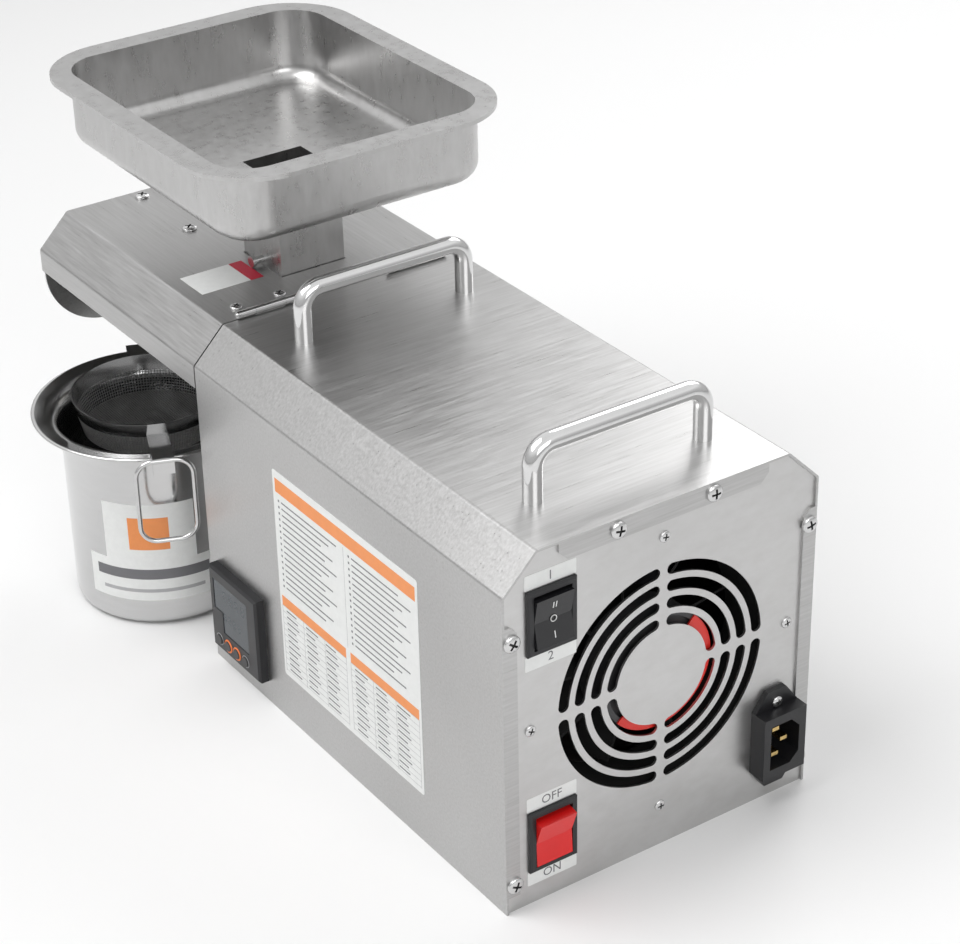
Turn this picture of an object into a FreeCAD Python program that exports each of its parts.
import FreeCAD, Part
import math
import os

# Screw oil press, in millimetres. +Z is up, the head is at -Y and the mains side is at +Y.
# The origin is the centre of the housing's underside.

# Fits and clearances
RUNNING_FIT = 0.05       # radial, between turning pieces
SEAT_FIT = 0.02          # radial, between pieces pressed together
LOOSE_FIT = 0.3          # per side, between pieces that drop together
HOOD_GAP = 1.0           # open joint between housing and hood

# Folded sheet housing and hood
HOUSING_WIDTH = 173.0
HOUSING_HEIGHT = 185.0
HOUSING_LENGTH = 260.0
SHOULDER = 17.7          # leg of the folded shoulder
SHEET = 1.2
BEND_RADIUS = 2.4        # outside radius of the folds
HOOD_LENGTH = 167.0
HOOD_SKIRT_Z = 155.0     # lower edge of the hood's side walls
HEAD_PLATE_Z = 118.0     # lower edge of the hood's end plate
HEAD_PLATE_CORNER = 35.0
HEAD_PLATE_FLANGE = 15.0
HOOD_SCREW_X = 27.5
HOOD_SCREW_INSET = 8.0   # front pair, from the hood's front edge
HOOD_SCREW_PITCH = 52.0  # from the front pair to the rear pair
HOOD_SCREW_HEAD = 4.0    # radius

# Rear flanges of the shell
TOP_FLANGE_HALF = 57.0
TOP_FLANGE_DEPTH = 10.2
SIDE_FLANGE_DEPTH = 7.5
SIDE_FLANGE_LOW = 9.0
SIDE_FLANGE_HIGH = 152.0

# Base plate and bulkhead
BASE_SHEET = 1.5
BASE_FLANGE = 12.0
BULKHEAD = 5.0

# Screws that hold the rear panel
PANEL_SCREW_HEAD = 4.2
PANEL_SCREW_SHANK = 2.0
PANEL_SCREW_LENGTH = 8.0
PANEL_SCREW_TOP_X = 26.0
PANEL_SCREW_TOP_DROP = 5.3
PANEL_SCREW_SIDE_INSET = 4.5
PANEL_SCREW_SIDE_Z = (15.4, 143.9)

# Fan grille
GRILLE_Z = 94.5
SLOT_RADIUS = 28.0       # mean radius of the innermost ring of slots
SLOT_PITCH = 8.75
SLOT_WIDTH = 5.6
SLOT_RINGS = 4
SPOKE = 4.0
FAN_SCREW_CIRCLE = 72.0
FAN_SCREW_HEAD = 2.8
FAN_SCREW_SHANK = 1.5

# Fan
SHROUD_RADIUS = 60.0
SHROUD_WALL = 1.5
SHROUD_DEPTH = 26.0
SHROUD_EAR = 10.0
FAN_RADIUS = 56.0
FAN_BLADES = 9
FAN_BLADE = 1.6
FAN_DEPTH = 14.0
FAN_RING_OUTER = 47.0
FAN_RING_INNER = 33.2
FAN_RING_DEPTH = 20.0    # behind the rear panel's outer face
FAN_RING_THICK = 1.5
FAN_HUB_RADIUS = 33.0
FAN_HUB_BORE = 28.0

# Handles
HANDLE_DIAMETER = 9.0
HANDLE_HALF_SPAN = 46.5
HANDLE_RISE = 26.7       # bar axis above the top sheet
HANDLE_BEND = 10.0
HANDLE_Y = (-91.5, 96.5)
HANDLE_STUD = 3.0
HANDLE_NUT_FLATS = 10.0
HANDLE_NUT = 5.0

# Hinges
HINGE_INNER_X = 27.0
HINGE_OUTER_X = 61.0
HINGE_KNUCKLES = (34.0, 51.0)
HINGE_RADIUS = 2.0
HINGE_PIN = 1.0
HINGE_LEAF = 0.8
HINGE_LEAF_LENGTH = 18.0
HINGE_SCREW_SETBACK = 11.5
HINGE_SCREW_X = (29.6, 54.5)
HINGE_SCREW_HEAD = 3.2

# Hopper
PAN_Y = -192.0
PAN_RIM_Z = 273.6
PAN_DEPTH = 39.6
PAN_WIDTH = 147.9
PAN_LENGTH = 180.4
PAN_CORNER = 22.0
PAN_FLOOR_EDGE = 9.0
PAN_RIM_WIDTH = 172.0
PAN_RIM_LENGTH = 205.0
PAN_RIM_CORNER = 40.0
PAN_RIM_LIP = 2.2
PAN_SHEET = 1.0
NECK_Y = -177.5
NECK_SIZE = 37.1
NECK_WALL = 1.5
NECK_BOTTOM_Z = 166.0
NECK_CLEARANCE = 0.6
STOP_PIN = 2.0
STOP_PIN_LENGTH = 5.0

# Press
PRESS_Z = 140.0
BORE = 12.5
BARREL_RADIUS = 21.5
BARREL_LENGTH = 126.0
FLANGE_RADIUS = 35.0
FLANGE_THICK = 8.0
BOLT_CIRCLE = 28.0
BOLT_SHANK = 3.0
BOLT_HEAD = 5.0
BOLT_HEAD_LENGTH = 5.0
THROAT_SIZE = 44.0
THROAT_TOP_GAP = 1.0     # from the throat block up to the neck
THROAT_MOUTH = 34.0
THROAT_HOLE = 20.0
OIL_SLOTS = 6
OIL_SLOT = 0.8
OIL_SLOT_PITCH = 3.0
OIL_SLOT_HALF = 14.0
OIL_SLOT_END = 12.0      # from the barrel's open end to the first slot
HEATER_WIDTH = 19.0
HEATER_THICK = 5.0
HEATER_SETBACK = 34.0    # from the barrel's open end
TERMINAL_RADIUS = 2.2
TERMINAL_LENGTH = 9.0
PROBE_RADIUS = 2.5
PROBE_LENGTH = 18.0
CAP_RADIUS = 26.0
CAP_SKIRT = 10.0
CAP_WALL = 18.0
CAP_OUTLET = 4.5
SCREW_CORE_FEED = 7.0
SCREW_CORE_END = 10.3
SCREW_FLIGHT_PITCH = 14.0
SCREW_FLIGHT_THICK = 3.0
SCREW_SHOULDER = 20.0    # plain length behind the flight
SCREW_TIP = 24.0
SCREW_TIP_RADIUS = 2.6
TANG = 12.0
TANG_LENGTH = 18.0

# Drive
GEAR_MODULE = 1.75
GEAR_TEETH = 40
PINION_TEETH = 12
PRESSURE_ANGLE = 25.0
ADDENDUM = 0.8           # in modules
DEDENDUM = 1.05
BACKLASH = 0.3
GEAR_FACE = 14.0
GEAR_CASE_WALL = 4.0
GEAR_CASE_END = 9.0
GEAR_CLEARANCE = 2.0
SHAFT_RADIUS = 12.0
BEARING_RADIUS = 16.0
BEARING_WIDTH = 8.0
PINION_SHAFT = 5.0
REDUCER_RADIUS = 32.0
REDUCER_LENGTH = 41.0
MOTOR_RADIUS = 40.0
MOTOR_LENGTH = 132.0
MOTOR_FINS = 16
MOTOR_FIN = 2.0
MOTOR_SHAFT = 4.0
SHAFT_POCKET = 12.0
SADDLE_HALF = 45.0
SADDLE_RIB = 4.0
SADDLE_FOOT = 3.0

# Temperature controller on the +X side
CONTROLLER_Y = -99.5
CONTROLLER_Z = 36.5
CONTROLLER_WIDTH = 46.2
CONTROLLER_HEIGHT = 48.0
CONTROLLER_PROUD = 5.5
CONTROLLER_BODY = 44.4
CONTROLLER_DEPTH = 30.0
WINDOW_RECESS = 0.8
WINDOW_THICK = 0.5
KEY_RADIUS = 2.6
KEY_COUNT = 4
KEY_PITCH = 8.6
KEY_ROW_Y = -102.5
KEY_ROW_Z = 19.0
KEY_PROUD = 0.8
KEY_TRAVEL = 0.6

# Rocker switches
SWITCH_X = 60.7
SWITCH_Z = (34.0, 149.2)
SWITCH_WIDTH = 26.0
SWITCH_HEIGHT = 32.4
SWITCH_PROUD = 2.2
SWITCH_BODY_WIDTH = 23.4
SWITCH_BODY_HEIGHT = 29.6
SWITCH_BODY_DEPTH = 20.0
ROCKER_WIDTH = 19.4
ROCKER_HALF = 12.0
ROCKER_TILT = 8.0
ROCKER_PIVOT = 4.8       # pivot behind the rear panel's outer face
ROCKER_END = 9.0         # end of the rocker above its pivot
ROCKER_DIP = 6.6
ROCKER_ROOT = 6.0
POCKET_WIDTH = 20.0
POCKET_HALF = 13.6
POCKET_DEPTH = 15.0

# Mains inlet
INLET_X = -66.0
INLET_Z = 34.7
INLET_SCREW_PITCH = 40.0
INLET_WIDTH = 25.0
INLET_BODY_HEIGHT = 34.0
INLET_PLATE_HEIGHT = 53.0
INLET_EAR = 11.0
INLET_PLATE = 3.0
INLET_PROUD = 10.0
INLET_BACK = 18.0
INLET_CAVITY_WIDTH = 17.0
INLET_CAVITY_HEIGHT = 24.4
INLET_CAVITY_CHAMFER = 5.0
INLET_CAVITY_DEPTH = 16.0
INLET_PIN_WIDTH = 4.0
INLET_PIN_THICK = 2.0
INLET_PIN_LENGTH = 12.0
INLET_PIN_PITCH = 7.0

# Pot and strainer
POT_X = 73.4
POT_Y = -210.5
POT_RADIUS = 47.0
POT_HEIGHT = 109.0
POT_SHEET = 0.8
POT_BRIM = 61.5
POT_BRIM_RISE = 9.0
POT_EDGE = 6.0
STRAINER_RADIUS = 40.0
STRAINER_TOP_Z = 117.0
STRAINER_BAND = 8.0
STRAINER_BAND_TAPER = 1.8
STRAINER_SHEET = 0.9
DISH_DEPTH = 20.0
DISH_FLOOR_RADIUS = 35.0
DISH_SHEET = 0.6
MESH_PITCH = 7.5
MESH_HOLE = 4.6
STRAP_ANGLE = 68.0
STRAP_WIDTH = 11.0
STRAP_THICK = 1.2
WIRE = 1.25
LOOP_WIDTH = 29.0
LOOP_HEIGHT = 46.0
LOOP_CORNER = 9.0
LOOP_STANDOFF = 3.5

# Places that follow from the sizes above
Vec = FreeCAD.Vector
REAR_Y = HOUSING_LENGTH / 2
FRONT_Y = -REAR_Y
HOOD_REAR_Y = FRONT_Y - HOOD_GAP
HOOD_FRONT_Y = HOOD_REAR_Y - HOOD_LENGTH
HALF_WIDTH = HOUSING_WIDTH / 2
PANEL_Y = REAR_Y - SHEET
PANEL_INNER_Y = PANEL_Y - SHEET
BULKHEAD_REAR_Y = FRONT_Y + BULKHEAD
HINGE_Y = FRONT_Y - HOOD_GAP / 2
HINGE_Z = HOUSING_HEIGHT + HINGE_RADIUS + 0.2
BARREL_END_Y = FRONT_Y - BARREL_LENGTH
THROAT_TOP_Z = NECK_BOTTOM_Z - THROAT_TOP_GAP
SCREW_END_Y = BARREL_END_Y + 6.0
GEAR_Y = BULKHEAD_REAR_Y + GEAR_CASE_WALL + GEAR_CASE_WALL
CASE_INNER_Y = GEAR_Y + GEAR_FACE + GEAR_CASE_WALL
CASE_REAR_Y = CASE_INNER_Y + GEAR_CASE_END
PINION_Z = PRESS_Z - GEAR_MODULE * (GEAR_TEETH + PINION_TEETH) / 2
MOTOR_Y = CASE_REAR_Y + REDUCER_LENGTH
MOTOR_REAR_Y = MOTOR_Y + MOTOR_LENGTH
FAN_RING_Y = PANEL_Y - FAN_RING_DEPTH


# Shared shapes

def block(x, y, z):
    """A box given by its (low, high) pair along each axis."""
    return Part.makeBox(x[1] - x[0], y[1] - y[0], z[1] - z[0], Vec(x[0], y[0], z[0]))


def rod(radius, start, end):
    """A cylinder between two points."""
    return Part.makeCylinder(radius, (end - start).Length, start, end - start)


def rod_y(radius, x, z, y0, y1):
    return rod(radius, Vec(x, y0, z), Vec(x, y1, z))


def rod_z(radius, x, y, z0, z1):
    return rod(radius, Vec(x, y, z0), Vec(x, y, z1))


def prism(points, travel):
    """A closed outline of points swept along a vector."""
    return Part.Face(Part.makePolygon(points + points[:1])).extrude(travel)


def prism_y(outline, y0, y1):
    """An (x, z) outline swept from y0 to y1."""
    return prism([Vec(x, y0, z) for x, z in outline], Vec(0, y1 - y0, 0))


def lathe_z(outline, x, y):
    """An (r, z) outline turned about a vertical axis."""
    points = [Vec(x + r, y, z) for r, z in outline]
    face = Part.Face(Part.makePolygon(points + points[:1]))
    return face.revolve(Vec(x, y, 0), Vec(0, 0, 1), 360)


def lathe_y(outline, z):
    """An (r, y) outline turned about a level axis at height z."""
    points = [Vec(r, y, z) for r, y in outline]
    face = Part.Face(Part.makePolygon(points + points[:1]))
    return face.revolve(Vec(0, 0, z), Vec(0, 1, 0), 360)


def join(first, *rest):
    return first.fuse(list(rest)).removeSplitter()


def mirrored(shape):
    return shape.mirror(Vec(0, 0, 0), Vec(1, 0, 0))


def rounded_wire(width, length, radius, centre):
    """A level rounded rectangle, width along X and length along Y."""
    w = width / 2
    l = length / 2
    cx = w - radius
    cy = l - radius
    bow = radius * math.sqrt(0.5)
    edges = []
    for sx, sy in ((1, 1), (-1, 1), (-1, -1), (1, -1)):
        side = Vec(sx * w, sy * cy, 0)
        end = Vec(sx * cx, sy * l, 0)
        middle = Vec(sx * (cx + bow), sy * (cy + bow), 0)
        start, stop = (side, end) if sx * sy > 0 else (end, side)
        edges.append(Part.Arc(centre + start, centre + middle, centre + stop).toShape())
    edges.append(Part.makeLine(centre + Vec(cx, l, 0), centre + Vec(-cx, l, 0)))
    edges.append(Part.makeLine(centre + Vec(-w, cy, 0), centre + Vec(-w, -cy, 0)))
    edges.append(Part.makeLine(centre + Vec(-cx, -l, 0), centre + Vec(cx, -l, 0)))
    edges.append(Part.makeLine(centre + Vec(w, -cy, 0), centre + Vec(w, cy, 0)))
    return Part.Wire(Part.__sortEdges__(edges))


def hex_nut(flats, thick, bore, x, y, top):
    corner = flats / math.sqrt(3)
    turns = [math.radians(60 * i) for i in range(6)]
    points = [Vec(x + corner * math.cos(t), y + corner * math.sin(t), top - thick) for t in turns]
    body = prism(points, Vec(0, 0, thick))
    return body.cut(rod_z(bore, x, y, top - thick - 1, top + 1))


def domed_head(radius, rise, base, axis):
    """A low screw head: a short disc with a sloped crown."""
    disc = Part.makeCylinder(radius, rise * 0.4, base, axis)
    crown = Part.makeCone(radius, radius * 0.6, rise * 0.6, base + axis * (rise * 0.4), axis)
    return disc.fuse(crown)


def screw(head, shank, length, base, axis):
    """A screw whose head sits at base and points along axis."""
    return domed_head(head, head * 0.5, base, axis).fuse(rod(shank, base - axis * length, base))


def fillet_along_y(shape, radius, lowest):
    """Rounds the folds: edges that run along Y above a height."""
    folds = []
    for edge in shape.Edges:
        a = edge.Vertexes[0].Point
        b = edge.Vertexes[-1].Point
        if abs(a.x - b.x) < 0.01 and abs(a.z - b.z) < 0.01 and a.z > lowest:
            folds.append(edge)
    return shape.makeFillet(radius, folds)


# Housing

def sheet_section(inset, bottom):
    """The (x, z) outline of the folded sheet, moved in by inset."""
    half = HALF_WIDTH - inset
    top = HOUSING_HEIGHT - inset
    leg = SHOULDER - inset * (2 - math.sqrt(2))
    return [(-half, bottom), (-half, top - leg), (-half + leg, top),
            (half - leg, top), (half, top - leg), (half, bottom)]


def folded_cover(y0, y1, bottom):
    outer = fillet_along_y(prism_y(sheet_section(0, bottom), y0, y1), BEND_RADIUS, bottom + 1)
    hollow = prism_y(sheet_section(SHEET, bottom - 1), y0 - 1, y1 + 1)
    return outer.cut(fillet_along_y(hollow, BEND_RADIUS - SHEET, bottom + 1))


def closing_plate(inset, bottom, y0, y1):
    """A flat plate that fills the folded section, moved in by inset."""
    plate = prism_y(sheet_section(inset, bottom), y0, y1)
    return fillet_along_y(plate, BEND_RADIUS - inset, bottom + 1)


def top_flange():
    low = HOUSING_HEIGHT - TOP_FLANGE_DEPTH
    top = HOUSING_HEIGHT - SHEET / 2
    clip = TOP_FLANGE_DEPTH * 0.45
    half = TOP_FLANGE_HALF
    outline = [(-half, top), (-half, low + clip), (-half + clip, low),
               (half - clip, low), (half, low + clip), (half, top)]
    return prism_y(outline, PANEL_Y, REAR_Y)


def side_flange():
    inner = HALF_WIDTH - SIDE_FLANGE_DEPTH
    outer = HALF_WIDTH - SHEET / 2
    clip = SIDE_FLANGE_DEPTH * 0.5
    outline = [(outer, SIDE_FLANGE_LOW), (inner, SIDE_FLANGE_LOW), (inner, SIDE_FLANGE_HIGH - clip),
               (inner + clip, SIDE_FLANGE_HIGH), (outer, SIDE_FLANGE_HIGH)]
    return prism_y(outline, PANEL_Y, REAR_Y)


def panel_screw_places():
    side_x = HALF_WIDTH - PANEL_SCREW_SIDE_INSET
    top_z = HOUSING_HEIGHT - PANEL_SCREW_TOP_DROP
    places = [(sign * PANEL_SCREW_TOP_X, top_z) for sign in (-1, 1)]
    for z in PANEL_SCREW_SIDE_Z:
        places += [(sign * side_x, z) for sign in (-1, 1)]
    return places


def panel_screw_holes(clearance):
    hole = PANEL_SCREW_SHANK + clearance
    return [rod_y(hole, x, z, PANEL_INNER_Y - 1, REAR_Y + 1) for x, z in panel_screw_places()]


def handle_places():
    return [(sign * HANDLE_HALF_SPAN, y) for y in HANDLE_Y for sign in (-1, 1)]


def controller_opening(depth_from, depth_to, clearance):
    half = CONTROLLER_BODY / 2 + clearance
    return block((depth_from, depth_to), (CONTROLLER_Y - half, CONTROLLER_Y + half),
                 (CONTROLLER_Z - half, CONTROLLER_Z + half))


def housing_shell():
    body = folded_cover(FRONT_Y, REAR_Y, 0)
    body = body.fuse([top_flange(), side_flange(), mirrored(side_flange())])
    holes = panel_screw_holes(SEAT_FIT)
    holes += [rod_z(HANDLE_STUD + SEAT_FIT, x, y, HOUSING_HEIGHT - 5, HOUSING_HEIGHT + 1) for x, y in handle_places()]
    holes.append(controller_opening(HALF_WIDTH - 5, HALF_WIDTH + 1, SEAT_FIT))
    return body.cut(holes).removeSplitter()


def base_plate():
    half = HALF_WIDTH - SHEET
    span = (BULKHEAD_REAR_Y, PANEL_INNER_Y)
    floor = block((-half, half), span, (0, BASE_SHEET))
    flange = block((half - BASE_SHEET, half), span, (0, BASE_FLANGE))
    return join(floor, flange, mirrored(flange))


def bulkhead():
    plate = closing_plate(SHEET, 0, FRONT_Y, BULKHEAD_REAR_Y)
    bore = rod_y(BEARING_RADIUS + SEAT_FIT, 0, PRESS_Z, FRONT_Y - 1, BULKHEAD_REAR_Y + 1)
    holes = [rod_y(BOLT_SHANK + SEAT_FIT, x, z, FRONT_Y - 1, BULKHEAD_REAR_Y + 1) for x, z in bolt_places()]
    return plate.cut([bore] + holes)


# Rear panel

def arc_slot(mean, start, stop, y0, y1):
    """A curved slot with round ends about the grille's centre; angles in degrees."""
    def at(radius, angle):
        turn = math.radians(angle)
        return Vec(radius * math.cos(turn), y0, GRILLE_Z + radius * math.sin(turn))
    half = SLOT_WIDTH / 2
    tip = math.degrees(half / mean)
    middle = (start + stop) / 2
    outer = Part.Arc(at(mean + half, start), at(mean + half, middle), at(mean + half, stop))
    end = Part.Arc(at(mean + half, stop), at(mean, stop + tip), at(mean - half, stop))
    inner = Part.Arc(at(mean - half, stop), at(mean - half, middle), at(mean - half, start))
    close = Part.Arc(at(mean - half, start), at(mean, start - tip), at(mean + half, start))
    wire = Part.Wire([arc.toShape() for arc in (outer, end, inner, close)])
    return Part.Face(wire).extrude(Vec(0, y1 - y0, 0))


def grille_slots():
    slots = []
    for ring in range(SLOT_RINGS):
        mean = SLOT_RADIUS + ring * SLOT_PITCH
        margin = math.degrees(math.asin((SPOKE / 2 + SLOT_WIDTH / 2) / mean))
        for quarter in range(4):
            start = 90 * quarter + margin
            stop = 90 * quarter + 90 - margin
            slots.append(arc_slot(mean, start, stop, PANEL_INNER_Y - 1, PANEL_Y + 1))
    return slots


def fan_screw_places():
    r = FAN_SCREW_CIRCLE
    return [(r, GRILLE_Z), (0, GRILLE_Z + r), (-r, GRILLE_Z), (0, GRILLE_Z - r)]


def rear_panel():
    plate = closing_plate(SHEET + SEAT_FIT, 0, PANEL_INNER_Y, PANEL_Y)
    holes = grille_slots() + panel_screw_holes(SEAT_FIT)
    holes += [rod_y(FAN_SCREW_SHANK + SEAT_FIT, x, z, PANEL_INNER_Y - 1, PANEL_Y + 1) for x, z in fan_screw_places()]
    holes += [switch_body(z, SEAT_FIT) for z in SWITCH_Z]
    holes += [inlet_core(SEAT_FIT)]
    holes += [rod_y(FAN_SCREW_SHANK + SEAT_FIT, INLET_X, z, PANEL_INNER_Y - 1, PANEL_Y + 1) for z in inlet_screw_heights()]
    return plate.cut(holes)


def rear_panel_screws():
    back = Vec(0, 1, 0)
    return [screw(PANEL_SCREW_HEAD, PANEL_SCREW_SHANK, PANEL_SCREW_LENGTH, Vec(x, REAR_Y, z), back)
            for x, z in panel_screw_places()]


def fan_screws():
    back = Vec(0, 1, 0)
    return [screw(FAN_SCREW_HEAD, FAN_SCREW_SHANK, PANEL_SCREW_LENGTH, Vec(x, PANEL_Y, z), back)
            for x, z in fan_screw_places()]


# Fan

def fan_shroud():
    y0 = PANEL_INNER_Y - SHROUD_DEPTH
    ring = rod_y(SHROUD_RADIUS, 0, GRILLE_Z, y0, PANEL_INNER_Y)
    ears = []
    reach = FAN_SCREW_CIRCLE + SHROUD_EAR / 2
    half = SHROUD_EAR / 2
    depth = (PANEL_INNER_Y - SHROUD_EAR, PANEL_INNER_Y)
    ears.append(block((-reach, reach), depth, (GRILLE_Z - half, GRILLE_Z + half)))
    ears.append(block((-half, half), depth, (GRILLE_Z - reach, GRILLE_Z + reach)))
    body = join(ring, *ears)
    hollow = rod_y(SHROUD_RADIUS - SHROUD_WALL, 0, GRILLE_Z, y0 - 1, PANEL_INNER_Y + 1)
    holes = [rod_y(FAN_SCREW_SHANK + SEAT_FIT, x, z, PANEL_INNER_Y - SHROUD_EAR - 1, PANEL_INNER_Y + 1)
             for x, z in fan_screw_places()]
    return body.cut([hollow] + holes)


def fan_blade(turn):
    """A thin pitched blade from the hub to the fan's edge."""
    y1 = FAN_RING_Y - FAN_RING_THICK
    y0 = y1 - FAN_DEPTH
    lean = FAN_DEPTH * 0.7
    points = [Vec(-lean / 2, y0, 0), Vec(FAN_BLADE - lean / 2, y0, 0),
              Vec(FAN_BLADE + lean / 2, y1, 0), Vec(lean / 2, y1, 0)]
    blade = prism(points, Vec(0, 0, FAN_RADIUS))
    blade.translate(Vec(0, 0, GRILLE_Z))
    blade.rotate(Vec(0, 0, GRILLE_Z), Vec(0, 1, 0), turn)
    return blade


def cooling_fan():
    """The black impeller: a back disc ring that carries the pitched blades."""
    y1 = FAN_RING_Y - FAN_RING_THICK
    y0 = y1 - FAN_DEPTH
    blades = [fan_blade(360 * i / FAN_BLADES) for i in range(FAN_BLADES)]
    drum = rod_y(FAN_HUB_BORE, 0, GRILLE_Z, y0, y1)
    body = join(drum, *blades)
    body = body.common(rod_y(FAN_RADIUS, 0, GRILLE_Z, y0 - 1, y1 + 1))
    return body.cut(rod_y(MOTOR_SHAFT + SEAT_FIT, 0, GRILLE_Z, y0 - 1, y1 + 1))


def fan_ring():
    ring = rod_y(FAN_RING_OUTER, 0, GRILLE_Z, FAN_RING_Y - FAN_RING_THICK, FAN_RING_Y)
    return ring.cut(rod_y(FAN_RING_INNER, 0, GRILLE_Z, FAN_RING_Y - FAN_RING_THICK - 1, FAN_RING_Y + 1))


def fan_hub():
    y0 = FAN_RING_Y - FAN_RING_THICK
    outline = [(MOTOR_SHAFT + SEAT_FIT, y0), (FAN_HUB_RADIUS, y0), (FAN_HUB_RADIUS, FAN_RING_Y + 1),
               (FAN_HUB_RADIUS - 4, FAN_RING_Y + 4), (MOTOR_SHAFT + SEAT_FIT, FAN_RING_Y + 4)]
    return lathe_y(outline, GRILLE_Z)


def motor_shaft():
    return rod_y(MOTOR_SHAFT, 0, GRILLE_Z, MOTOR_REAR_Y - SHAFT_POCKET + 1, FAN_RING_Y + 2)


# Handles

def bend(radius, bend_radius, centre, start, axis):
    """A quarter turn of round bar: start is the bar's centre where the turn begins."""
    circle = Part.makeCircle(radius, start, axis.cross(start - centre))
    face = Part.Face(Part.Wire(circle))
    return face.revolve(centre, axis, 90)


def handle(y):
    radius = HANDLE_DIAMETER / 2
    bar_z = HOUSING_HEIGHT + HANDLE_RISE
    turn_z = bar_z - HANDLE_BEND
    turn_x = HANDLE_HALF_SPAN - HANDLE_BEND
    leg = rod_z(radius, HANDLE_HALF_SPAN, y, HOUSING_HEIGHT, turn_z)
    stud = rod_z(HANDLE_STUD, HANDLE_HALF_SPAN, y, HOUSING_HEIGHT - SHEET - HANDLE_NUT - 1, HOUSING_HEIGHT)
    corner = bend(radius, HANDLE_BEND, Vec(turn_x, y, turn_z), Vec(HANDLE_HALF_SPAN, y, turn_z), Vec(0, -1, 0))
    bar = rod(radius, Vec(-turn_x, y, bar_z), Vec(turn_x, y, bar_z))
    half = [leg, stud, corner]
    return join(bar, *half, *[mirrored(piece) for piece in half])


def handle_nuts():
    top = HOUSING_HEIGHT - SHEET
    return [hex_nut(HANDLE_NUT_FLATS, HANDLE_NUT, HANDLE_STUD + SEAT_FIT, x, y, top) for x, y in handle_places()]


# Hinges

def knuckle(x0, x1):
    tube = rod(HINGE_RADIUS, Vec(x0, HINGE_Y, HINGE_Z), Vec(x1, HINGE_Y, HINGE_Z))
    bore = rod(HINGE_PIN + RUNNING_FIT, Vec(x0 - 1, HINGE_Y, HINGE_Z), Vec(x1 + 1, HINGE_Y, HINGE_Z))
    return tube, bore


def hinge_hood_leaf():
    """The leaf under the hood's top, with the two outer knuckles."""
    under = HOUSING_HEIGHT - SHEET
    plate = block((HINGE_INNER_X, HINGE_OUTER_X), (HOOD_REAR_Y - HINGE_LEAF_LENGTH, HOOD_REAR_Y), (under - HINGE_LEAF, under))
    body = plate
    bores = []
    for x0, x1 in ((HINGE_INNER_X, HINGE_KNUCKLES[0]), (HINGE_KNUCKLES[1], HINGE_OUTER_X)):
        tube, bore = knuckle(x0, x1 - RUNNING_FIT)
        tab = block((x0, x1 - RUNNING_FIT), (HOOD_REAR_Y, HOOD_REAR_Y + HINGE_LEAF), (under - HINGE_LEAF, HINGE_Z))
        body = body.fuse([tube, tab])
        bores.append(bore)
    y = HOOD_REAR_Y - HINGE_SCREW_SETBACK
    bores += [rod_z(HINGE_PIN + SEAT_FIT, x, y, under - 3, under + 1) for x in HINGE_SCREW_X]
    return body.cut(bores).removeSplitter()


def hinge_body_leaf():
    """The middle knuckle, and a leaf that drops down the bulkhead's face."""
    x0 = HINGE_KNUCKLES[0] + RUNNING_FIT
    x1 = HINGE_KNUCKLES[1] - 2 * RUNNING_FIT
    tube, bore = knuckle(x0, x1)
    low = HOUSING_HEIGHT - HINGE_LEAF_LENGTH
    plate = block((x0, x1), (FRONT_Y - HINGE_LEAF, FRONT_Y), (low, HINGE_Z))
    return tube.fuse(plate).cut(bore).removeSplitter()


def hinge_pin():
    return rod(HINGE_PIN, Vec(HINGE_INNER_X - 0.6, HINGE_Y, HINGE_Z), Vec(HINGE_OUTER_X + 0.6, HINGE_Y, HINGE_Z))


def hinge_screws():
    y = HOOD_REAR_Y - HINGE_SCREW_SETBACK
    return [screw(HINGE_SCREW_HEAD, HINGE_PIN, SHEET + HINGE_LEAF + 1, Vec(x, y, HOUSING_HEIGHT), Vec(0, 0, 1))
            for x in HINGE_SCREW_X]


# Hood

def hood_screw_places():
    y0 = HOOD_FRONT_Y + HOOD_SCREW_INSET
    return [(sign * HOOD_SCREW_X, y) for y in (y0, y0 + HOOD_SCREW_PITCH) for sign in (-1, 1)]


def hood():
    body = folded_cover(HOOD_FRONT_Y, HOOD_REAR_Y, HOOD_SKIRT_Z)
    half = NECK_SIZE / 2 + NECK_CLEARANCE
    top = (HOUSING_HEIGHT - 5, HOUSING_HEIGHT + 1)
    holes = [block((-half, half), (NECK_Y - half, NECK_Y + half), top)]
    holes += [rod_z(PANEL_SCREW_SHANK + SEAT_FIT, x, y, *top) for x, y in hood_screw_places()]
    y = HOOD_REAR_Y - HINGE_SCREW_SETBACK
    holes += [rod_z(HINGE_PIN + SEAT_FIT, sign * x, y, *top) for x in HINGE_SCREW_X for sign in (-1, 1)]
    return body.cut(holes)


def hood_front_plate():
    """The end plate, cut to round lower corners, with a flange folded back under the hood's top."""
    y1 = HOOD_FRONT_Y + SHEET
    plate = closing_plate(SHEET, HEAD_PLATE_Z, HOOD_FRONT_Y, y1)
    low = [e for e in plate.Edges if abs(e.Vertexes[0].Point.z - HEAD_PLATE_Z) < 0.01
           and abs(e.Vertexes[-1].Point.z - HEAD_PLATE_Z) < 0.01
           and abs(e.Vertexes[0].Point.x - e.Vertexes[-1].Point.x) < 0.01]
    plate = plate.makeFillet(HEAD_PLATE_CORNER, low)
    top = HOUSING_HEIGHT - SHEET
    half = HALF_WIDTH - SHOULDER - SHEET
    flange = block((-half, half), (HOOD_FRONT_Y, HOOD_FRONT_Y + HEAD_PLATE_FLANGE), (top - SHEET, top))
    holes = [rod_z(PANEL_SCREW_SHANK + SEAT_FIT, x, y, top - 5, top + 1) for x, y in hood_screw_places()]
    return plate.fuse(flange).cut(holes).removeSplitter()


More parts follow.
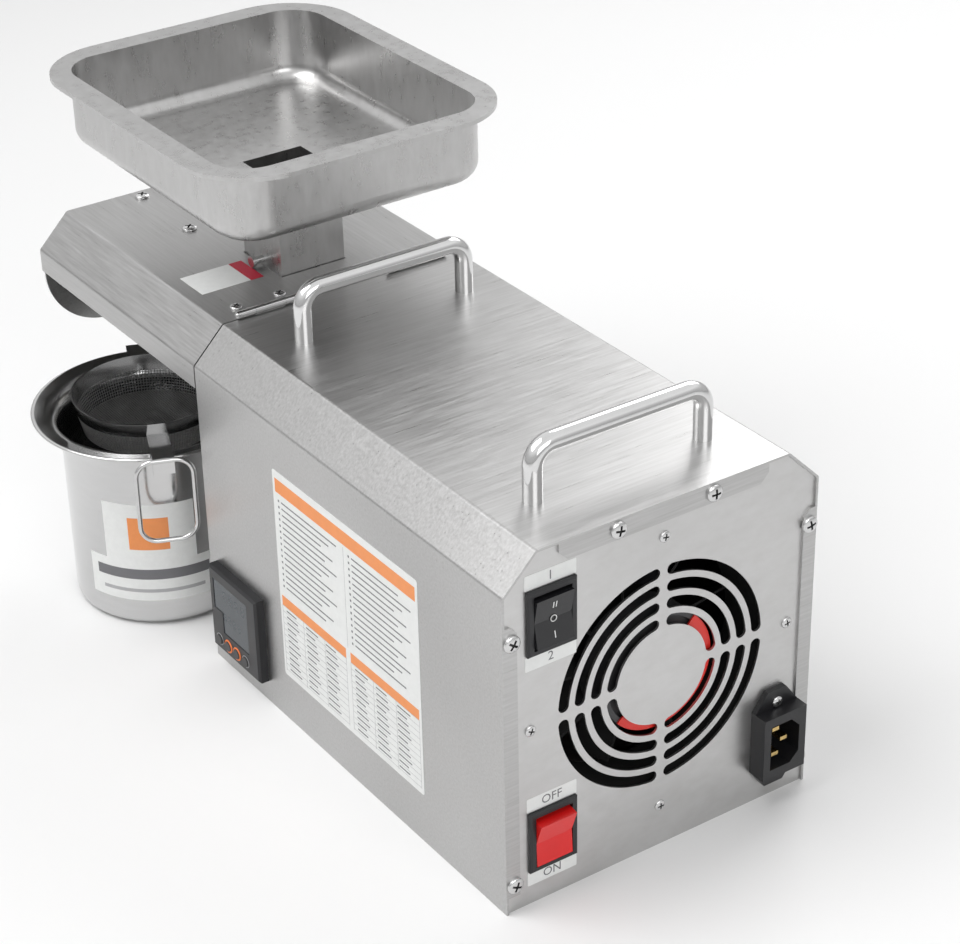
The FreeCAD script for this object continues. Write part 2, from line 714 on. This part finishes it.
def hood_screws():
    length = 2 * SHEET + HANDLE_NUT
    return [screw(HOOD_SCREW_HEAD, PANEL_SCREW_SHANK, length, Vec(x, y, HOUSING_HEIGHT), Vec(0, 0, 1))
            for x, y in hood_screw_places()]


def hood_nuts():
    """Nuts under the front plate's flange, and under the sheet for the rear pair."""
    nuts = []
    for x, y in hood_screw_places():
        front = y < HOOD_FRONT_Y + HEAD_PLATE_FLANGE
        top = HOUSING_HEIGHT - SHEET * (2 if front else 1)
        nuts.append(hex_nut(HANDLE_NUT_FLATS * 0.7, HANDLE_NUT * 0.6, PANEL_SCREW_SHANK + SEAT_FIT, x, y, top))
    return nuts


# Hopper

def pan_solid(inset):
    """The pan's rounded tub, moved in by inset."""
    floor = PAN_RIM_Z - PAN_DEPTH + inset
    wire = rounded_wire(PAN_WIDTH - 2 * inset, PAN_LENGTH - 2 * inset, PAN_CORNER - inset, Vec(0, PAN_Y, floor))
    tub = Part.Face(wire).extrude(Vec(0, 0, PAN_RIM_Z - floor))
    edges = [e for e in tub.Edges if all(abs(v.Point.z - floor) < 0.01 for v in e.Vertexes)]
    return tub.makeFillet(PAN_FLOOR_EDGE - inset, edges)


def pan_rim():
    top = PAN_RIM_Z
    centre = Vec(0, PAN_Y, 0)
    def plate(shrink, low):
        wire = rounded_wire(PAN_RIM_WIDTH - 2 * shrink, PAN_RIM_LENGTH - 2 * shrink,
                            PAN_RIM_CORNER - shrink, centre + Vec(0, 0, low))
        return Part.Face(wire)
    outer = plate(0, top - PAN_RIM_LIP).extrude(Vec(0, 0, PAN_RIM_LIP))
    hollow = plate(PAN_SHEET, top - PAN_RIM_LIP - 1).extrude(Vec(0, 0, PAN_RIM_LIP + 1 - PAN_SHEET))
    return outer.cut(hollow)


def hopper_pan():
    half = NECK_SIZE / 2 - NECK_WALL
    mouth = block((-half, half), (NECK_Y - half, NECK_Y + half), (PAN_RIM_Z - PAN_DEPTH - 5, PAN_RIM_Z - PAN_DEPTH + 5))
    body = pan_solid(0).fuse(pan_rim())
    return body.cut([pan_solid(PAN_SHEET), mouth]).removeSplitter()


def hopper_neck():
    half = NECK_SIZE / 2
    top = PAN_RIM_Z - PAN_DEPTH
    inner = half - NECK_WALL
    tube = block((-half, half), (NECK_Y - half, NECK_Y + half), (NECK_BOTTOM_Z, top))
    return tube.cut(block((-inner, inner), (NECK_Y - inner, NECK_Y + inner), (NECK_BOTTOM_Z - 1, top + 1)))


def hopper_stop_pins():
    """Headed pins on both sides of the neck that rest on the hood."""
    z = HOUSING_HEIGHT + STOP_PIN * 1.5 + LOOSE_FIT
    pins = []
    for side in (-1, 1):
        start = Vec(side * NECK_SIZE / 2, NECK_Y, z)
        middle = start + Vec(side * STOP_PIN_LENGTH, 0, 0)
        shank = rod(STOP_PIN, start, middle)
        head = rod(STOP_PIN * 1.5, middle, middle + Vec(side * STOP_PIN, 0, 0))
        pins.append(shank.fuse(head))
    return pins


# Press

def bolt_places():
    leg = BOLT_CIRCLE * math.sqrt(0.5)
    return [(sx * leg, PRESS_Z + sz * leg) for sx in (-1, 1) for sz in (-1, 1)]


def feed_throat():
    """The funnel cut: a wide mouth that narrows to the hole into the bore."""
    def square(size, z):
        h = size / 2
        points = [Vec(-h, NECK_Y - h, z), Vec(h, NECK_Y - h, z), Vec(h, NECK_Y + h, z), Vec(-h, NECK_Y + h, z)]
        return Part.makePolygon(points + points[:1])
    waist = PRESS_Z + BORE
    funnel = Part.makeLoft([square(THROAT_HOLE, waist), square(THROAT_MOUTH, THROAT_TOP_Z)], True, True)
    h = THROAT_HOLE / 2
    return funnel.fuse(block((-h, h), (NECK_Y - h, NECK_Y + h), (PRESS_Z, waist)))


def oil_slots():
    slots = []
    for i in range(OIL_SLOTS):
        y = BARREL_END_Y + OIL_SLOT_END + i * OIL_SLOT_PITCH
        slots.append(block((-OIL_SLOT_HALF, OIL_SLOT_HALF), (y, y + OIL_SLOT), (PRESS_Z - BARREL_RADIUS - 1, PRESS_Z - BORE * 0.6)))
    return slots


def press_barrel():
    tube = rod_y(BARREL_RADIUS, 0, PRESS_Z, BARREL_END_Y, FRONT_Y)
    flange = rod_y(FLANGE_RADIUS, 0, PRESS_Z, FRONT_Y - FLANGE_THICK, FRONT_Y)
    half = THROAT_SIZE / 2
    throat = block((-half, half), (NECK_Y - half, NECK_Y + half), (PRESS_Z, THROAT_TOP_Z))
    cuts = [rod_y(BORE, 0, PRESS_Z, BARREL_END_Y - 1, FRONT_Y + 1), feed_throat(), probe()]
    cuts += oil_slots()
    cuts += [rod_y(BOLT_SHANK + SEAT_FIT, x, z, FRONT_Y - FLANGE_THICK - 1, FRONT_Y + 1) for x, z in bolt_places()]
    return join(tube, flange, throat).cut(cuts)


def barrel_bolts():
    seat = FRONT_Y - FLANGE_THICK
    bolts = []
    for x, z in bolt_places():
        head = rod_y(BOLT_HEAD, x, z, seat - BOLT_HEAD_LENGTH, seat)
        bolts.append(head.fuse(rod_y(BOLT_SHANK, x, z, seat, BULKHEAD_REAR_Y)))
    return bolts


def heater_band():
    y0 = BARREL_END_Y + HEATER_SETBACK
    ring = rod_y(BARREL_RADIUS + HEATER_THICK, 0, PRESS_Z, y0, y0 + HEATER_WIDTH)
    bore = rod_y(BARREL_RADIUS + SEAT_FIT, 0, PRESS_Z, y0 - 1, y0 + HEATER_WIDTH + 1)
    return ring.cut([bore] + heater_terminals())


def heater_terminals():
    y = BARREL_END_Y + HEATER_SETBACK + HEATER_WIDTH / 2
    start = BARREL_RADIUS + HEATER_THICK - 0.5
    step = HEATER_WIDTH / 4
    return [rod(TERMINAL_RADIUS, Vec(-start, y + s * step, PRESS_Z), Vec(-start - TERMINAL_LENGTH, y + s * step, PRESS_Z))
            for s in (-1, 1)]


def probe():
    """The temperature probe in its drilled seat on top of the barrel."""
    y = (FRONT_Y - FLANGE_THICK + NECK_Y + THROAT_SIZE / 2) / 2
    low = PRESS_Z + BORE + 3
    return rod_z(PROBE_RADIUS, 0, y, low, low + PROBE_LENGTH)


def nozzle_cap():
    front = BARREL_END_Y - CAP_WALL
    skirt = BARREL_RADIUS + SEAT_FIT
    outline = [(BORE, BARREL_END_Y), (skirt, BARREL_END_Y), (skirt, BARREL_END_Y + CAP_SKIRT),
               (CAP_RADIUS, BARREL_END_Y + CAP_SKIRT), (CAP_RADIUS, front + 3),
               (CAP_RADIUS - 3, front), (CAP_OUTLET, front)]
    return lathe_y(outline, PRESS_Z)


def screw_core():
    """The tapered core, its plain shoulder, its tip and the square tang."""
    tip = SCREW_END_Y - SCREW_TIP
    feed = FRONT_Y - SCREW_SHOULDER
    shoulder = BORE - RUNNING_FIT * 2
    outline = [(0, tip), (SCREW_TIP_RADIUS, tip), (SCREW_CORE_END, SCREW_END_Y), (SCREW_CORE_FEED, feed - 6),
               (shoulder, feed), (shoulder, FRONT_Y), (0, FRONT_Y)]
    h = TANG / 2
    tang = block((-h, h), (FRONT_Y, FRONT_Y + TANG_LENGTH), (PRESS_Z - h, PRESS_Z + h))
    return lathe_y(outline, PRESS_Z).fuse(tang)


def screw_flight():
    """The helical flight: a flat-topped rib swept round the core."""
    start = SCREW_END_Y
    length = FRONT_Y - SCREW_SHOULDER - 2 - start
    outer = BORE - RUNNING_FIT * 2
    root = SCREW_CORE_FEED - 2
    helix = Part.makeHelix(SCREW_FLIGHT_PITCH, length - SCREW_FLIGHT_THICK, outer)
    corners = [Vec(root, 0, 0), Vec(outer, 0, 0), Vec(outer, 0, SCREW_FLIGHT_THICK), Vec(root, 0, SCREW_FLIGHT_THICK)]
    profile = Part.makePolygon(corners + corners[:1])
    flight = Part.Wire(helix).makePipeShell([profile], True, True)
    flight.rotate(Vec(0, 0, 0), Vec(1, 0, 0), -90)
    flight.translate(Vec(0, start, PRESS_Z))
    return flight


def press_screw():
    return screw_core().fuse(screw_flight())


# Drive

def tooth_flank(teeth, radii):
    """Half-tooth angle at each radius of an involute tooth, thinned by the backlash."""
    pitch = GEAR_MODULE * teeth / 2
    pressure = math.radians(PRESSURE_ANGLE)
    base = pitch * math.cos(pressure)
    half_pitch = (math.pi * GEAR_MODULE / 2 - BACKLASH) / 2 / pitch
    flank = []
    for radius in radii:
        roll = math.acos(min(1, base / radius))
        flank.append(half_pitch + (math.tan(pressure) - pressure) - (math.tan(roll) - roll))
    return flank


def spur_gear(teeth, centre_z, phase, bore):
    pitch = GEAR_MODULE * teeth / 2
    tip = pitch + ADDENDUM * GEAR_MODULE
    root = pitch - DEDENDUM * GEAR_MODULE
    radii = (root, pitch, tip)
    flank = tooth_flank(teeth, radii)
    outline = []
    for i in range(teeth):
        middle = phase + 2 * math.pi * i / teeth
        side = list(zip(radii, flank))
        for radius, angle in side:
            outline.append((radius, middle - angle))
        for radius, angle in side[::-1]:
            outline.append((radius, middle + angle))
    points = [Vec(r * math.cos(a), GEAR_Y, centre_z + r * math.sin(a)) for r, a in outline]
    blank = prism(points, Vec(0, GEAR_FACE, 0))
    if bore == 0:
        return blank
    return blank.cut(rod_y(bore, 0, centre_z, GEAR_Y - 1, GEAR_Y + GEAR_FACE + 1))


def drive_gear():
    return spur_gear(GEAR_TEETH, PRESS_Z, math.pi / GEAR_TEETH + math.pi / 2, SHAFT_RADIUS + SEAT_FIT)


def pinion():
    shaft = rod_y(PINION_SHAFT, 0, PINION_Z, BULKHEAD_REAR_Y + 1, CASE_REAR_Y + SHAFT_POCKET - 1)
    return spur_gear(PINION_TEETH, PINION_Z, 0, 0).fuse(shaft)


def drive_shaft():
    """The hollow output shaft; its square socket takes the press screw's tang."""
    shaft = rod_y(SHAFT_RADIUS, 0, PRESS_Z, FRONT_Y, CASE_REAR_Y - 1)
    h = TANG / 2 + RUNNING_FIT
    return shaft.cut(block((-h, h), (FRONT_Y - 1, FRONT_Y + TANG_LENGTH + 1), (PRESS_Z - h, PRESS_Z + h)))


def pear_outline(y0, y1, grow):
    """Two circles about the gears joined by their outer tangents."""
    big = GEAR_MODULE * (GEAR_TEETH / 2 + ADDENDUM) + GEAR_CLEARANCE + grow
    small = GEAR_MODULE * (PINION_TEETH / 2 + ADDENDUM) + GEAR_CLEARANCE + grow
    lean = math.asin((big - small) / (PRESS_Z - PINION_Z))
    cx, cz = math.cos(lean), math.sin(lean)
    web = [(big * cx, PRESS_Z - big * cz), (-big * cx, PRESS_Z - big * cz),
           (-small * cx, PINION_Z - small * cz), (small * cx, PINION_Z - small * cz)]
    upper = rod_y(big, 0, PRESS_Z, y0, y1)
    lower = rod_y(small, 0, PINION_Z, y0, y1)
    return join(upper, lower, prism_y(web, y0, y1))


def gearbox_case():
    y0 = BULKHEAD_REAR_Y + GEAR_CASE_WALL
    body = pear_outline(y0, CASE_REAR_Y, GEAR_CASE_WALL)
    cuts = [pear_outline(y0 - 1, CASE_INNER_Y, 0)]
    cuts.append(rod_y(BEARING_RADIUS + SEAT_FIT, 0, PRESS_Z, CASE_INNER_Y - 1, CASE_INNER_Y + BEARING_WIDTH))
    cuts.append(rod_y(PINION_SHAFT + RUNNING_FIT, 0, PINION_Z, CASE_INNER_Y - 1, CASE_REAR_Y + 1))
    return body.cut(cuts)


def gearbox_cover():
    y1 = BULKHEAD_REAR_Y + GEAR_CASE_WALL
    body = pear_outline(BULKHEAD_REAR_Y, y1, GEAR_CASE_WALL)
    cuts = [rod_y(BEARING_RADIUS + SEAT_FIT, 0, PRESS_Z, BULKHEAD_REAR_Y - 1, y1 + 1)]
    cuts.append(rod_y(PINION_SHAFT + RUNNING_FIT, 0, PINION_Z, BULKHEAD_REAR_Y + 0.5, y1 + 1))
    return body.cut(cuts)


def bearing(y0):
    ring = rod_y(BEARING_RADIUS, 0, PRESS_Z, y0, y0 + BEARING_WIDTH)
    return ring.cut(rod_y(SHAFT_RADIUS + RUNNING_FIT, 0, PRESS_Z, y0 - 1, y0 + BEARING_WIDTH + 1))


def shaft_bearings():
    front = BULKHEAD_REAR_Y + GEAR_CASE_WALL - BEARING_WIDTH
    return [bearing(front), bearing(CASE_INNER_Y)]


def motor():
    """Reducer and motor in one closed case, with a shaft socket at each end."""
    outline = [(0, CASE_REAR_Y), (REDUCER_RADIUS, CASE_REAR_Y), (REDUCER_RADIUS, MOTOR_Y),
               (MOTOR_RADIUS - 3, MOTOR_Y), (MOTOR_RADIUS, MOTOR_Y + 3), (MOTOR_RADIUS, MOTOR_REAR_Y - 3),
               (MOTOR_RADIUS - 3, MOTOR_REAR_Y), (0, MOTOR_REAR_Y)]
    body = lathe_y(outline, PINION_Z)
    front = rod_y(PINION_SHAFT + RUNNING_FIT, 0, PINION_Z, CASE_REAR_Y - 1, CASE_REAR_Y + SHAFT_POCKET)
    rear = rod_y(MOTOR_SHAFT + RUNNING_FIT, 0, PINION_Z, MOTOR_REAR_Y - SHAFT_POCKET, MOTOR_REAR_Y + 1)
    return body.cut([front, rear])


def motor_mount():
    """A foot plate on the base with two ribs cut to the motor's round."""
    span = (MOTOR_Y + 20, MOTOR_REAR_Y - 20)
    foot = block((-SADDLE_HALF, SADDLE_HALF), span, (BASE_SHEET, BASE_SHEET + SADDLE_FOOT))
    ribs = []
    for y in (span[0], span[1] - SADDLE_RIB):
        rib = block((-MOTOR_RADIUS + 6, MOTOR_RADIUS - 6), (y, y + SADDLE_RIB), (BASE_SHEET, PINION_Z - MOTOR_RADIUS / 3))
        ribs.append(rib)
    bed = rod_y(MOTOR_RADIUS, 0, PINION_Z, span[0] - 1, span[1] + 1)
    return join(foot, *ribs).cut(bed)


# Temperature controller

def key_places():
    first = KEY_ROW_Y - KEY_PITCH * (KEY_COUNT - 1) / 2
    return [first + i * KEY_PITCH for i in range(KEY_COUNT)]


def window_outline(x, grow):
    """The window's outline, clear of the keys at one lower corner."""
    y0 = CONTROLLER_Y - CONTROLLER_WIDTH / 2 + 4 - grow
    y1 = CONTROLLER_Y + CONTROLLER_WIDTH / 2 - 9 + grow
    z0 = CONTROLLER_Z - CONTROLLER_HEIGHT / 2 + 12.5 - grow
    z1 = CONTROLLER_Z + CONTROLLER_HEIGHT / 2 - 6 + grow
    step_y = y0 + 8
    step_z = z0 + 12
    return [Vec(x, y0, z1), Vec(x, y0, step_z), Vec(x, step_y, step_z), Vec(x, step_y, z0), Vec(x, y1, z0), Vec(x, y1, z1)]


def controller_case():
    face = HALF_WIDTH + CONTROLLER_PROUD
    w = CONTROLLER_WIDTH / 2
    h = CONTROLLER_HEIGHT / 2
    bezel = block((HALF_WIDTH, face), (CONTROLLER_Y - w, CONTROLLER_Y + w), (CONTROLLER_Z - h, CONTROLLER_Z + h))
    rim = [e for e in bezel.Edges if all(abs(v.Point.x - face) < 0.01 for v in e.Vertexes)]
    bezel = bezel.makeChamfer(1.2, rim)
    body = controller_opening(HALF_WIDTH - CONTROLLER_DEPTH, HALF_WIDTH, 0)
    cuts = [prism(window_outline(face - WINDOW_RECESS, 0), Vec(2, 0, 0))]
    for y in key_places():
        cuts.append(rod(KEY_RADIUS + RUNNING_FIT * 2, Vec(face - 4, y, KEY_ROW_Z), Vec(face + 1, y, KEY_ROW_Z)))
    return join(bezel, body).cut(cuts)


def controller_window():
    base = HALF_WIDTH + CONTROLLER_PROUD - WINDOW_RECESS
    return prism(window_outline(base, -RUNNING_FIT), Vec(WINDOW_THICK, 0, 0))


def controller_key(y):
    face = HALF_WIDTH + CONTROLLER_PROUD
    return rod(KEY_RADIUS, Vec(face - 4 + KEY_TRAVEL + 0.4, y, KEY_ROW_Z), Vec(face + KEY_PROUD, y, KEY_ROW_Z))


# Rocker switches

def switch_body(z, clearance):
    w = SWITCH_BODY_WIDTH / 2 + clearance
    h = SWITCH_BODY_HEIGHT / 2 + clearance
    return block((SWITCH_X - w, SWITCH_X + w), (PANEL_Y - SWITCH_BODY_DEPTH, PANEL_Y), (z - h, z + h))


def switch_frame(z):
    w = SWITCH_WIDTH / 2
    h = SWITCH_HEIGHT / 2
    face = PANEL_Y + SWITCH_PROUD
    flange = block((SWITCH_X - w, SWITCH_X + w), (PANEL_Y, face), (z - h, z + h))
    rim = [e for e in flange.Edges if all(abs(v.Point.y - face) < 0.01 for v in e.Vertexes)]
    flange = flange.makeChamfer(0.8, rim)
    p = POCKET_WIDTH / 2
    pocket = block((SWITCH_X - p, SWITCH_X + p), (face - POCKET_DEPTH, face + 1), (z - POCKET_HALF, z + POCKET_HALF))
    return join(flange, switch_body(z, 0)).cut([pocket, rocker_pin(z, SEAT_FIT)])


def rocker_pin(z, clearance):
    reach = POCKET_WIDTH / 2 + 1
    y = PANEL_Y - ROCKER_PIVOT
    return rod(1.2 + clearance, Vec(SWITCH_X - reach, y, z), Vec(SWITCH_X + reach, y, z))


def rocker(z, tilt):
    """A rocker with a dished face, on its own stub pins; tilt is its resting angle in degrees."""
    y = PANEL_Y - ROCKER_PIVOT
    w = ROCKER_WIDTH / 2
    end = ROCKER_HALF
    outline = [(-end, ROCKER_END), (-end, 1), (-ROCKER_ROOT, -ROCKER_ROOT), (ROCKER_ROOT, -ROCKER_ROOT),
               (end, 1), (end, ROCKER_END), (0, ROCKER_DIP)]
    points = [Vec(SWITCH_X - w, y + depth, z + height) for height, depth in outline]
    body = prism(points, Vec(ROCKER_WIDTH, 0, 0)).fuse(rocker_pin(z, -RUNNING_FIT))
    body.rotate(Vec(SWITCH_X, y, z), Vec(1, 0, 0), tilt)
    return body


# Mains inlet

def inlet_screw_heights():
    return [INLET_Z - INLET_SCREW_PITCH / 2, INLET_Z + INLET_SCREW_PITCH / 2]


def inlet_core(clearance):
    w = INLET_WIDTH / 2 - 1 + clearance
    h = INLET_BODY_HEIGHT / 2 - 2 + clearance
    return block((INLET_X - w, INLET_X + w), (PANEL_Y - INLET_BACK, PANEL_Y), (INLET_Z - h, INLET_Z + h))


def power_inlet():
    w = INLET_WIDTH / 2
    h = INLET_BODY_HEIGHT / 2
    tip = INLET_PLATE_HEIGHT / 2
    ear = INLET_EAR / 2
    outline = [(-w, -h), (-ear, -tip), (ear, -tip), (w, -h), (w, h), (ear, tip), (-ear, tip), (-w, h)]
    plate = prism_y([(INLET_X + x, INLET_Z + z) for x, z in outline], PANEL_Y, PANEL_Y + INLET_PLATE)
    face = PANEL_Y + INLET_PROUD
    nose = block((INLET_X - w, INLET_X + w), (PANEL_Y, face), (INLET_Z - h, INLET_Z + h))
    cw = INLET_CAVITY_WIDTH / 2
    ch = INLET_CAVITY_HEIGHT / 2
    c = INLET_CAVITY_CHAMFER
    mouth = [(cw, -ch), (cw, ch), (-cw + c, ch), (-cw, ch - c), (-cw, -ch + c), (-cw + c, -ch)]
    cavity = prism_y([(INLET_X + x, INLET_Z + z) for x, z in mouth], face - INLET_CAVITY_DEPTH, face + 1)
    cuts = [cavity] + [rod_y(FAN_SCREW_SHANK + SEAT_FIT, INLET_X, z, PANEL_Y - 1, face + 1) for z in inlet_screw_heights()]
    return join(plate, nose, inlet_core(0)).cut(cuts)


def inlet_pins():
    y0 = PANEL_Y + INLET_PROUD - INLET_CAVITY_DEPTH
    pins = []
    for row in (-1, 0, 1):
        x = INLET_X + (-2.5 if row == 0 else 2.5)
        z = INLET_Z + row * INLET_PIN_PITCH
        pins.append(block((x - INLET_PIN_WIDTH / 2, x + INLET_PIN_WIDTH / 2), (y0, y0 + INLET_PIN_LENGTH),
                          (z - INLET_PIN_THICK / 2, z + INLET_PIN_THICK / 2)))
    return pins


def inlet_screws():
    return [screw(FAN_SCREW_HEAD, FAN_SCREW_SHANK, PANEL_SCREW_LENGTH, Vec(INLET_X, PANEL_Y + INLET_PLATE, z), Vec(0, 1, 0))
            for z in inlet_screw_heights()]


# Pot and strainer

def pot():
    """A drawn pot: round-edged floor, straight wall and a flared brim."""
    r = POT_RADIUS
    t = POT_SHEET
    e = POT_EDGE
    brim_z = POT_HEIGHT - POT_BRIM_RISE
    slant = e * (1 - math.sqrt(0.5))
    outline = [(0, 0), (r - e, 0), (r - slant, slant), (r, e), (r, brim_z),
               (r + 3.5, POT_HEIGHT - 3), (POT_BRIM - 1, POT_HEIGHT - t), (POT_BRIM, POT_HEIGHT - t),
               (POT_BRIM, POT_HEIGHT), (POT_BRIM - 1.5, POT_HEIGHT), (r + 2.5, POT_HEIGHT - 2.4),
               (r - t, brim_z + 0.4), (r - t, e), (r - t - slant, t + slant), (r - e, t), (0, t)]
    return lathe_z(outline, POT_X, POT_Y)


def strainer_frame():
    """The band that stiffens the strainer, with the strap over the brim and the far hook."""
    top = STRAINER_TOP_Z
    low = top - STRAINER_BAND
    r = STRAINER_RADIUS
    s = STRAINER_SHEET
    tilt = STRAINER_BAND_TAPER
    band = lathe_z([(r - s, top), (r, top), (r - tilt, low), (r - tilt - s, low)], POT_X, POT_Y)
    reach = POT_BRIM + 2
    z = POT_HEIGHT + LOOSE_FIT
    straps = []
    for angle in (STRAP_ANGLE, STRAP_ANGLE + 180):
        strap = block((r - s / 2, reach), (-STRAP_WIDTH / 2, STRAP_WIDTH / 2), (z, z + STRAP_THICK))
        riser = block((r - tilt - s / 2, r + 2), (-STRAP_WIDTH / 2, STRAP_WIDTH / 2), (z, z + STRAP_THICK))
        lip = block((reach, reach + STRAP_THICK), (-STRAP_WIDTH / 2, STRAP_WIDTH / 2), (z - 8, z + STRAP_THICK))
        arm = join(strap, riser, lip)
        arm.rotate(Vec(0, 0, 0), Vec(0, 0, 1), angle)
        arm.translate(Vec(POT_X, POT_Y, 0))
        straps.append(arm)
    hollow = lathe_z([(0, top + 1), (r - s, top + 1), (r - s, top), (r - tilt - s, low), (r - tilt - s, low - 1), (0, low - 1)], POT_X, POT_Y)
    return join(band, *straps).cut(hollow)


def strainer_dish():
    """The perforated dish: a sloping wall and a flat floor with a grid of square holes."""
    top = STRAINER_TOP_Z - STRAINER_BAND
    floor = STRAINER_TOP_Z - DISH_DEPTH
    r1 = STRAINER_RADIUS - STRAINER_BAND_TAPER
    r0 = DISH_FLOOR_RADIUS
    t = DISH_SHEET
    shell = lathe_z([(0, floor), (r0, floor), (r1, top), (r1 - t, top), (r0 - t, floor + t), (0, floor + t)], POT_X, POT_Y)
    half = MESH_HOLE / 2
    count = int(r0 // MESH_PITCH)
    holes = []
    for i in range(-count, count + 1):
        for j in range(-count, count + 1):
            x = i * MESH_PITCH
            y = j * MESH_PITCH
            if math.hypot(abs(x) + half, abs(y) + half) < r0 - 1.5:
                holes.append(block((POT_X + x - half, POT_X + x + half), (POT_Y + y - half, POT_Y + y + half), (floor - 1, floor + 1)))
    return shell.cut(holes)


def strainer_loop():
    """The wire loop that hangs outside the pot from the strap."""
    x = POT_BRIM + 2 + STRAP_THICK + WIRE
    top = POT_HEIGHT + LOOSE_FIT + STRAP_THICK / 2
    low = top - LOOP_HEIGHT
    half = LOOP_WIDTH / 2
    c = LOOP_CORNER
    ring = Part.makePolygon([Vec(x, -half, top), Vec(x, half, top), Vec(x, half, low), Vec(x, -half, low), Vec(x, -half, top)])
    sides = []
    for sign in (-1, 1):
        sides.append(rod_z(WIRE, x, sign * half, low + c, top - c))
        up = bend(WIRE, c, Vec(x, sign * (half - c), top - c), Vec(x, sign * half, top - c), Vec(sign, 0, 0))
        down = bend(WIRE, c, Vec(x, sign * (half - c), low + c), Vec(x, sign * half, low + c), Vec(-sign, 0, 0))
        sides += [up, down]
    bars = [rod(WIRE, Vec(x, c - half, z), Vec(x, half - c, z)) for z in (low, top)]
    loop = join(bars[0], bars[1], *sides)
    loop.rotate(Vec(0, 0, 0), Vec(0, 0, 1), STRAP_ANGLE)
    loop.translate(Vec(POT_X, POT_Y, 0))
    return loop


# Output

def export(name, shapes):
    solids = shapes if isinstance(shapes, list) else [shapes]
    pieces = [solid for shape in solids for solid in shape.Solids]
    whole = pieces[0] if len(pieces) == 1 else Part.makeCompound(pieces)
    whole.exportStep(os.path.join("parts", name + ".step"))


def main():
    os.makedirs("parts", exist_ok=True)
    export("housing_shell", housing_shell())
    export("base_plate", base_plate())
    export("bulkhead", bulkhead())
    export("rear_panel", rear_panel())
    export("rear_panel_screws", rear_panel_screws())
    export("fan_screws", fan_screws())
    export("fan_shroud", fan_shroud())
    export("cooling_fan", cooling_fan())
    export("fan_ring", fan_ring())
    export("fan_hub", fan_hub())
    export("motor_shaft", motor_shaft())
    export("handle_front", handle(HANDLE_Y[0]))
    export("handle_rear", handle(HANDLE_Y[1]))
    export("handle_nuts", handle_nuts())
    export("hinge_hood_leaves", [hinge_hood_leaf(), mirrored(hinge_hood_leaf())])
    export("hinge_body_leaves", [hinge_body_leaf(), mirrored(hinge_body_leaf())])
    export("hinge_pins", [hinge_pin(), mirrored(hinge_pin())])
    export("hinge_screws", hinge_screws() + [mirrored(s) for s in hinge_screws()])
    export("hood", hood())
    export("hood_front_plate", hood_front_plate())
    export("hood_screws", hood_screws())
    export("hood_nuts", hood_nuts())
    export("hopper_pan", hopper_pan())
    export("hopper_neck", hopper_neck())
    export("hopper_stop_pins", hopper_stop_pins())
    export("press_barrel", press_barrel())
    export("barrel_bolts", barrel_bolts())
    export("heater_band", heater_band())
    export("heater_terminals", heater_terminals())
    export("temperature_probe", probe())
    export("nozzle_cap", nozzle_cap())
    export("press_screw", press_screw())
    export("drive_gear", drive_gear())
    export("pinion", pinion())
    export("drive_shaft", drive_shaft())
    export("gearbox_case", gearbox_case())
    export("gearbox_cover", gearbox_cover())
    export("shaft_bearings", shaft_bearings())
    export("motor", motor())
    export("motor_mount", motor_mount())
    export("controller_case", controller_case())
    export("controller_window", controller_window())
    for number, y in enumerate(key_places(), 1):
        export(f"controller_key_{number}", controller_key(y))
    export("run_switch_frame", switch_frame(SWITCH_Z[1]))
    export("run_switch_rocker", rocker(SWITCH_Z[1], 0))
    export("heat_switch_frame", switch_frame(SWITCH_Z[0]))
    export("heat_switch_rocker", rocker(SWITCH_Z[0], -ROCKER_TILT))
    export("power_inlet", power_inlet())
    export("inlet_pins", inlet_pins())
    export("inlet_screws", inlet_screws())
    export("pot", pot())
    export("strainer_frame", strainer_frame())
    export("strainer_dish", strainer_dish())
    export("strainer_loop", strainer_loop())


main()
